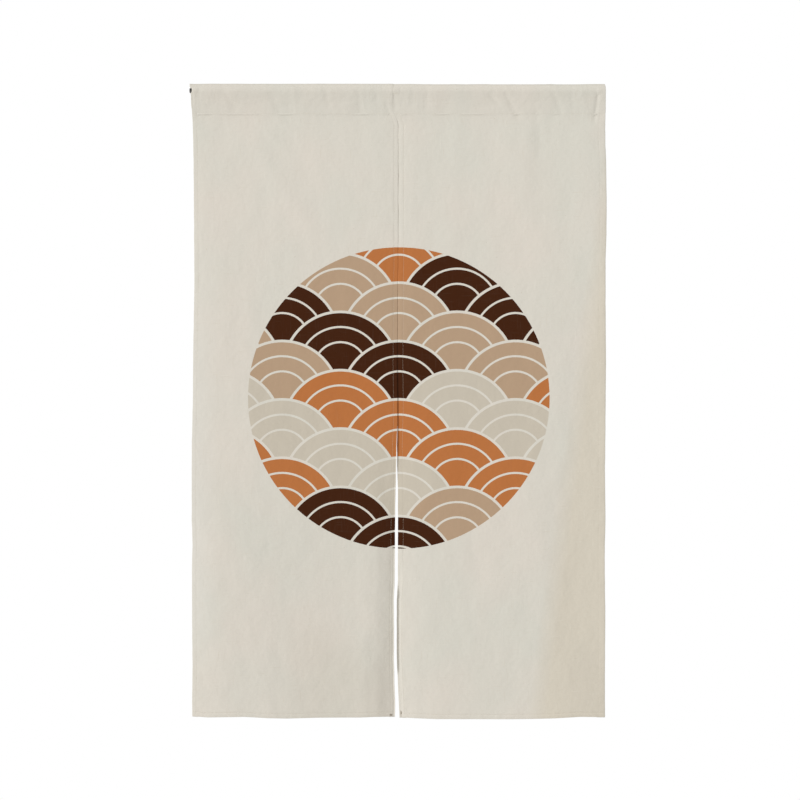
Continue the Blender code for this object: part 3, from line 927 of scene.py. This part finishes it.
class Nodes:
    """Short ways to add and join the nodes of one material."""

    def __init__(self, name):
        self.material = bpy.data.materials.new(name)
        self.material.use_nodes = True
        self.tree = self.material.node_tree
        self.shader = self.tree.nodes["Principled BSDF"]

    def feed(self, socket, value):
        if isinstance(value, bpy.types.NodeSocket):
            self.tree.links.new(value, socket)
        else:
            socket.default_value = value

    def add(self, kind, inputs, **settings):
        node = self.tree.nodes.new(kind)
        for key, value in settings.items():
            setattr(node, key, value)
        for key, value in inputs.items():
            self.feed(node.inputs[key], value)
        return node

    def math(self, operation, *values):
        node = self.add("ShaderNodeMath", dict(enumerate(values)), operation=operation)
        return node.outputs[0]

    def plus(self, first, second):
        return self.math("ADD", first, second)

    def minus(self, first, second):
        return self.math("SUBTRACT", first, second)

    def times(self, first, second):
        return self.math("MULTIPLY", first, second)

    def over(self, first, second):
        return self.math("DIVIDE", first, second)

    def above(self, value, limit):
        """1 where a value is above a limit."""
        return self.math("GREATER_THAN", value, limit)

    def below(self, value, limit):
        """1 where a value is below a limit."""
        return self.math("LESS_THAN", value, limit)

    def length(self, x, y):
        return self.math("SQRT", self.plus(self.times(x, x), self.times(y, y)))

    def choose(self, share, first, second):
        """first where share is 0 and second where it is 1, for plain numbers."""
        return self.plus(first, self.times(share, self.minus(second, first)))

    def mix(self, share, first, second):
        node = self.tree.nodes.new("ShaderNodeMix")
        node.data_type = "RGBA"
        self.feed(node.inputs[0], share)
        self.feed(node.inputs[6], first)
        self.feed(node.inputs[7], second)
        return node.outputs[2]

    def look(self, name, value):
        self.feed(self.shader.inputs[name], value)

    def map_place(self, uv_name):
        """The two coordinates of a texture map."""
        uv = self.add("ShaderNodeUVMap", {}, uv_map=uv_name).outputs[0]
        split = self.add("ShaderNodeSeparateXYZ", {0: uv})
        return split.outputs[0], split.outputs[1]

    def object_place(self):
        """The three coordinates of the object itself."""
        where = self.add("ShaderNodeTexCoord", {}).outputs["Object"]
        split = self.add("ShaderNodeSeparateXYZ", {0: where})
        return split.outputs[0], split.outputs[1], split.outputs[2]

    def noise(self, x, y, across, up, seed, detail=2.0):
        """Noise of 0 to 1 with its own scale each way."""
        where = self.add("ShaderNodeCombineXYZ", {0: self.times(x, across), 1: self.times(y, up), 2: seed})
        found = self.add("ShaderNodeTexNoise", {"Vector": where.outputs[0], "Scale": 1.0, "Detail": detail})
        return found.outputs["Fac"]

    def step(self, value, low, high):
        """0 below low, 1 above high, straight between."""
        node = self.add("ShaderNodeMapRange", {0: value, 1: low, 2: high, 3: 0.0, 4: 1.0}, clamp=True)
        return node.outputs[0]

    def grain(self, x, y, grain):
        found = self.noise(x, y, grain.across, grain.up, grain.seed, detail=grain.detail)
        return self.step(found, grain.low, grain.high)

    def relief(self, height, strength):
        """Bump of a height in metres."""
        bump = self.add("ShaderNodeBump", {"Strength": strength, "Distance": 1.0, "Height": height})
        self.look("Normal", bump.outputs[0])


def scale_at(nodes, x, y, row):
    """Distance from the middle of the nearest scale of a row, and that scale's number across."""
    half_turn = nodes.math("FLOORED_MODULO", row, 2.0)
    shifted = nodes.minus(x, nodes.times(half_turn, SCALE_RADIUS))
    number = nodes.math("ROUND", nodes.over(shifted, 2 * SCALE_RADIUS))
    across = nodes.minus(shifted, nodes.times(number, 2 * SCALE_RADIUS))
    up = nodes.minus(y, nodes.times(row, SCALE_RADIUS / 2))
    distance = nodes.over(nodes.length(across, up), SCALE_RADIUS)
    half_number = nodes.plus(nodes.times(number, 2.0), half_turn)
    return distance, half_number


def nearest_scale(nodes, x, y):
    """Distance, number across and row of the scale that shows; lower rows lie over higher ones."""
    first_row = nodes.math("CEIL", nodes.over(nodes.minus(y, SCALE_RADIUS), SCALE_RADIUS / 2))
    rows = (first_row, nodes.plus(first_row, 1.0), nodes.plus(first_row, 2.0))
    near, middle, far = [(*scale_at(nodes, x, y, row), row) for row in rows]
    outside_near = nodes.above(near[0], 1.0)
    outside_middle = nodes.above(middle[0], 1.0)
    beyond = [nodes.choose(outside_middle, *pair) for pair in zip(middle, far)]
    return [nodes.choose(outside_near, *pair) for pair in zip(near, beyond)]


def wave_print(nodes, x, y):
    """Ink colour and cover of the badge of wave scales."""
    bleed = nodes.times(nodes.minus(nodes.noise(x, y, 900.0, 900.0, 4.0), 0.5), INK_BLEED)
    x = nodes.plus(nodes.minus(x, PRINT_CENTRE[0]), bleed)
    y = nodes.plus(nodes.minus(y, PRINT_CENTRE[1]), bleed)
    distance, number, row = nearest_scale(nodes, x, y)
    drift = nodes.math("FLOOR", nodes.over(row, 4.0))
    total = nodes.plus(nodes.plus(row, number), drift)
    ink = nodes.math("FLOORED_MODULO", nodes.math("ROUND", total), 4.0)
    colour = BROWN
    for before, following in enumerate((ORANGE, TAN, GREIGE)):
        colour = nodes.mix(nodes.above(ink, before + 0.5), colour, following)
    cover = nodes.below(nodes.length(x, y), PRINT_RADIUS)
    for low, high in SCALE_LINES:
        inside = nodes.times(nodes.above(distance, low), nodes.below(distance, high))
        cover = nodes.times(cover, nodes.minus(1.0, inside))
    return colour, cover


def weave(nodes, u, v):
    """Raised threads of a plain weave, a little uneven."""
    stray_u = nodes.times(nodes.noise(u, v, 60.0, 500.0, 2.0), THREAD_PITCH * THREAD_STRAY)
    stray_v = nodes.times(nodes.noise(u, v, 500.0, 60.0, 6.0), THREAD_PITCH * THREAD_STRAY)
    wave_u = nodes.math("SINE", nodes.times(nodes.plus(u, stray_u), math.pi / THREAD_PITCH))
    wave_v = nodes.math("SINE", nodes.times(nodes.plus(v, stray_v), math.pi / THREAD_PITCH))
    return nodes.times(wave_u, wave_v)


def right_shade_share(nodes, x, z):
    """0 elsewhere and 1 where painted shade makes the free right side darker and warmer."""
    lean = nodes.times(nodes.minus(z, RIGHT_SHADE_LINE_Z), RIGHT_SHADE_LINE_LEAN)
    past = nodes.minus(nodes.minus(x, RIGHT_SHADE_LINE_X), lean)
    return nodes.step(past, 0.0, RIGHT_SHADE_WIDTH)


def left_highlight_share(nodes, x, z):
    """1 along the middle of the left edge, where a painted highlight lightens the cloth."""
    height = nodes.times(nodes.step(z, *LEFT_HIGHLIGHT_FROM_TOP), nodes.step(z, *LEFT_HIGHLIGHT_FROM_FOOT))
    return nodes.times(nodes.step(x, *LEFT_HIGHLIGHT_ACROSS), height)


def low_shade_share(nodes, x, z):
    """0 elsewhere and 1 in the two lower corners, where painted shade darkens the cloth."""
    lean = nodes.times(nodes.minus(x, LOW_SHADE_LEAN_FROM), LOW_SHADE_LEAN)
    low_by_split = nodes.step(nodes.plus(z, lean), *LOW_SHADE_DOWN)
    across_split = nodes.times(nodes.step(x, *LOW_SHADE_FROM_LEFT), nodes.step(x, *LOW_SHADE_FROM_SPLIT))
    by_split = nodes.times(low_by_split, across_split)
    by_side = nodes.times(nodes.step(z, *LOW_SHADE_DOWN), nodes.step(x, *LOW_SHADE_BY_SIDE))
    return nodes.math("MAXIMUM", by_split, by_side)


def cloth_tone(nodes, x, z):
    """Uneven cream, with painted shade on the free right side and in the lower corners, and a painted
    highlight along the left edge.
    """
    base = nodes.mix(nodes.grain(x, z, TONES), CREAM_COOL, CREAM_WARM)
    base = nodes.mix(nodes.times(nodes.grain(x, z, CLOUDS), CLOUD_SHARE), base, CREAM)
    # Painted shade on the free right side
    base = nodes.mix(nodes.times(right_shade_share(nodes, x, z), RIGHT_SHADE_SHARE), base, CREAM_RIGHT_SHADE)
    # Painted highlight along the left edge
    base = nodes.mix(nodes.times(left_highlight_share(nodes, x, z), LEFT_HIGHLIGHT_SHARE), base, CREAM_LEFT_HIGHLIGHT)
    # Painted shade in the two lower corners
    return nodes.mix(nodes.times(low_shade_share(nodes, x, z), LOW_SHADE_SHARE), base, CREAM_LOW_SHADE)


def seed_flecks(nodes, u, v):
    """Cover of small dark flecks, at most one to a cell."""
    across, up = nodes.times(u, FLECK_CELLS), nodes.times(v, FLECK_CELLS)
    cell = nodes.add("ShaderNodeCombineXYZ", {0: across, 1: up, 2: 0.0})
    dots = nodes.add("ShaderNodeTexVoronoi", {"Vector": cell.outputs[0], "Scale": 1.0})
    chance = nodes.add("ShaderNodeSeparateColor", {0: dots.outputs["Color"]}).outputs[0]
    chosen = nodes.above(chance, FLECKS_LEFT_OUT)
    near_dot = nodes.below(dots.outputs["Distance"], FLECK_RADIUS)
    return nodes.times(nodes.times(near_dot, chosen), FLECK_SHARE)


def cloth_material(name, ink_strength):
    """Unbleached cotton and linen: uneven tone with painted shade and highlight, slubs, seed flecks and
    weave, under the print.
    """
    nodes = Nodes(name)
    u, v = nodes.map_place("flat")
    x, z = nodes.map_place("hung")
    slubs = nodes.math("MAXIMUM", nodes.grain(u, v, SLUBS_ACROSS), nodes.grain(u, v, SLUBS_UP))
    thins = nodes.math("MAXIMUM", nodes.grain(u, v, THINS_ACROSS), nodes.grain(u, v, THINS_UP))
    base = nodes.mix(nodes.times(slubs, SLUB_SHARE), cloth_tone(nodes, x, z), SLUB_LIGHT)
    base = nodes.mix(nodes.times(thins, THIN_SHARE), base, SLUB_DARK)
    ink, cover = wave_print(nodes, x, z)
    rub = nodes.times(nodes.math("MAXIMUM", slubs, thins), INK_RUB)
    colour = nodes.mix(nodes.times(cover, nodes.minus(ink_strength, rub)), base, ink)
    colour = nodes.mix(seed_flecks(nodes, u, v), colour, SEED_FLECK)
    nodes.look("Base Color", colour)
    nodes.look("Roughness", nodes.minus(0.93, nodes.times(cover, 0.05)))
    nodes.look("Specular IOR Level", 0.12)
    nodes.look("Sheen Weight", 0.01)
    nodes.look("Sheen Roughness", 0.5)
    crinkle = nodes.noise(u, v, 105.0, 90.0, 5.0, detail=4.0)
    height = nodes.times(weave(nodes, u, v), WEAVE_HEIGHT)
    height = nodes.plus(height, nodes.times(slubs, SLUB_HEIGHT))
    height = nodes.plus(height, nodes.times(crinkle, CRINKLE_HEIGHT))
    nodes.relief(height, 1.0)
    return nodes.material


def thread_material(name, dark, light):
    """Twisted sewing thread."""
    nodes = Nodes(name)
    x, _, z = nodes.object_place()
    tone = nodes.noise(x, z, 420.0, 420.0, 1.0)
    nodes.look("Base Color", nodes.mix(tone, dark, light))
    nodes.look("Roughness", 0.75)
    twist = nodes.math("SINE", nodes.times(nodes.plus(x, z), 2 * math.pi / TWIST_PITCH))
    nodes.relief(nodes.times(twist, TWIST_HEIGHT), 0.8)
    return nodes.material


def rod_material():
    """Dark painted steel with faint drawn lines and a little wear."""
    nodes = Nodes("rod_paint")
    x, y, z = nodes.object_place()
    lines = nodes.noise(x, z, 30.0, 1500.0, 2.0, detail=3.0)
    colour = nodes.mix(nodes.times(nodes.grain(x, y, ROD_WEAR), WORN_SHARE), ROD_PAINT, ROD_WORN)
    nodes.look("Base Color", colour)
    nodes.look("Metallic", 0.35)
    nodes.look("Roughness", nodes.plus(0.38, nodes.times(lines, 0.18)))
    nodes.relief(nodes.times(lines, DRAWN_LINE_HEIGHT), 0.6)
    return nodes.material


def floor_material():
    """Pale matt floor, hardly uneven."""
    nodes = Nodes("pale_floor")
    x, y, _ = nodes.object_place()
    tone = nodes.noise(x, y, 3.0, 3.0, 1.0)
    nodes.look("Base Color", nodes.mix(tone, FLOOR_DARK, FLOOR_LIGHT))
    nodes.look("Roughness", 0.8)
    return nodes.material


# Studio

CAMERA_PLACE = (0.4324, -3.883, -0.636)
CAMERA_LENS = 85.0
CAMERA_SENSOR = 36.0
FLOOR_HEIGHT = -2.0
FLOOR_HALF = 1.5
SURROUNDING_LIGHT = (0.572, 0.558, 0.54, 1.0)
BACKDROP = (1.0, 1.0, 1.0, 1.0)

# A low sun from the left front, and two soft lamps over the curtain
KEY_ENERGY = 1.98
KEY_SPREAD = math.radians(20)
KEY_DIRECTION = (28.0, 23.7, -3.4)
Lamp = namedtuple("Lamp", "name place aim size power")
LAMPS = (
    Lamp("top_fill", (0.43, -2.2, 1.6), (0.43, 0.0, -0.5), 1.2, 4.0),
    Lamp("above", (0.43, 0.5, 2.4), (0.43, 0.0, -0.1), 1.0, 8.5),
)


def linked(name, data):
    made = bpy.data.objects.new(name, data)
    bpy.context.scene.collection.objects.link(made)
    return made


def camera():
    data = bpy.data.cameras.new("camera")
    data.lens = CAMERA_LENS
    data.sensor_width = CAMERA_SENSOR
    made = linked("camera", data)
    made.location = CAMERA_PLACE
    made.rotation_euler = (math.radians(90), 0, 0)
    bpy.context.scene.camera = made


def floor():
    centre_x = CAMERA_PLACE[0]
    corners = []
    for side_x, side_y in ((-1, -1), (1, -1), (1, 1), (-1, 1)):
        corners.append((centre_x + side_x * FLOOR_HALF, side_y * FLOOR_HALF, FLOOR_HEIGHT))
    mesh = bpy.data.meshes.new("floor")
    mesh.from_pydata(corners, [], [(0, 1, 2, 3)])
    mesh.materials.append(floor_material())
    linked("floor", mesh)


def facing(direction):
    return Vector(direction).to_track_quat("-Z", "Y").to_euler()


def lights():
    key_data = bpy.data.lights.new("key", "SUN")
    key_data.energy = KEY_ENERGY
    key_data.angle = KEY_SPREAD
    linked("key", key_data).rotation_euler = facing(KEY_DIRECTION)
    for lamp in LAMPS:
        data = bpy.data.lights.new(lamp.name, "AREA")
        data.size = lamp.size
        data.energy = lamp.power
        made = linked(lamp.name, data)
        made.location = lamp.place
        made.rotation_euler = facing(Vector(lamp.aim) - Vector(lamp.place))


def surroundings():
    """Soft light from all round, seen by the camera as a white backdrop."""
    world = bpy.data.worlds.new("studio")
    bpy.context.scene.world = world
    world.use_nodes = True
    tree = world.node_tree
    seen = tree.nodes.new("ShaderNodeLightPath")
    backdrop = tree.nodes.new("ShaderNodeMix")
    backdrop.data_type = "RGBA"
    backdrop.inputs[6].default_value = SURROUNDING_LIGHT
    backdrop.inputs[7].default_value = BACKDROP
    tree.links.new(seen.outputs["Is Camera Ray"], backdrop.inputs[0])
    tree.links.new(backdrop.outputs[2], tree.nodes["Background"].inputs["Color"])
    view = bpy.context.scene.view_settings
    view.view_transform = "Standard"
    view.look = "None"


def main():
    cloth = (cloth_material("cream_cloth_front", 1.0), cloth_material("cream_cloth_reverse", REVERSE_INK))
    threads = (
        thread_material("sewing_thread", THREAD_DARK, THREAD),
        # Dark thread that paints the shade at the folded hem corners
        thread_material("corner_shade_thread", CORNER_SHADE_THREAD_DARK, CORNER_SHADE_THREAD),
    )
    for panel, seed in ((LEFT, 1.7), (RIGHT, 5.2)):
        stitches = panel_stitches(panel, threads, seed)
        sheet, flat = cloth_sheet(panel, cloth, seed)
        print(panel.name, "flat", [round(side, 4) for side in flat])
    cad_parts["rod"].material_slots[0].material = rod_material()
    camera()
    floor()
    lights()
    surroundings()


main()
